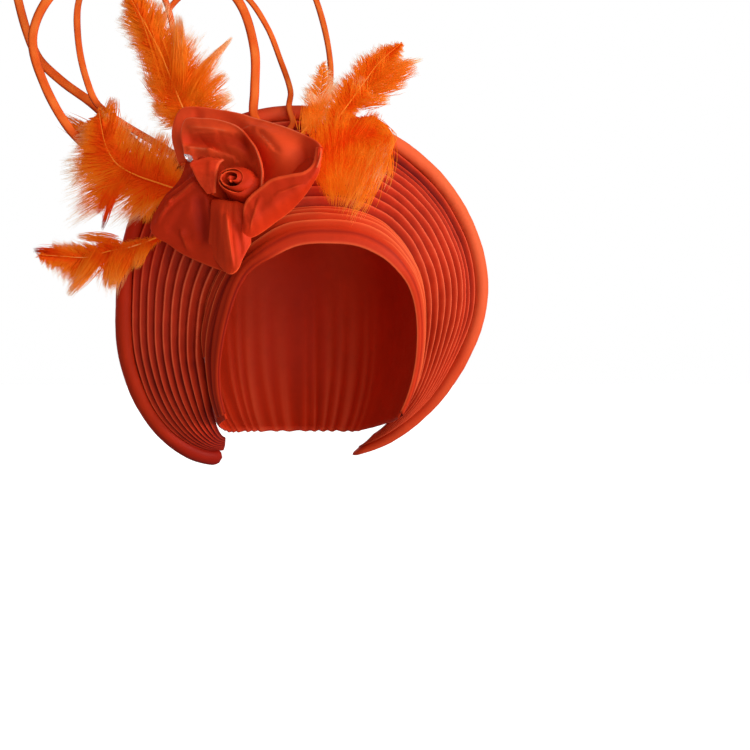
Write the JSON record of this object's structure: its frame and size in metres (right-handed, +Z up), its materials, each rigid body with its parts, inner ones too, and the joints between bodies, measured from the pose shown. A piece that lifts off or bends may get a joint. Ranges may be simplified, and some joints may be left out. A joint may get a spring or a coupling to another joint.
{
  "type": "tied gele head tie",
  "caption": "Ready-tied gele head tie: cloth cap with a round pleated halo and padded rim, wrapped front band, cloth rosette, feathers and tall strip loops.",
  "frame": {"origin": "point inside the crown where the top of the wearer's head rests", "axes": "+Z up, -Y the way the wearer looks, -X the side of the rosette (the viewer's left)"},
  "size_m": [0.354, 0.1928, 0.4336],
  "materials": {
    "halo_cloth": "matte satin cloth, fine weave",
    "roll_cloth": "matte satin cloth, fine weave",
    "petal_cloth": "soft satin cloth, creased",
    "strip_cloth": "stiffened cloth strip",
    "dyed_feather": "dyed feather, soft barbs",
    "clear_stone": "clear polished stone"
  },
  "bodies": {
    "root": {"crown_cap": "halo_cloth", "pleated_fan": "halo_cloth", "rim_roll": "roll_cloth", "band_fold_1": "roll_cloth", "band_fold_2": "roll_cloth", "band_fold_3": "roll_cloth", "band_fold_4": "roll_cloth", "petal_1": "petal_cloth", "petal_2": "petal_cloth", "petal_3": "petal_cloth", "petal_4": "petal_cloth", "petal_5": "petal_cloth", "petal_6": "petal_cloth", "petal_7": "petal_cloth", "rose_bud": "petal_cloth", "loop_1": "strip_cloth", "loop_2": "strip_cloth", "loop_3": "strip_cloth", "loop_4": "strip_cloth", "feather_1": "dyed_feather", "feather_2": "dyed_feather", "feather_3": "dyed_feather", "feather_4": "dyed_feather", "feather_5": "dyed_feather", "feather_6": "dyed_feather", "stone_drop": "clear_stone"}
  },
  "joints": []
}
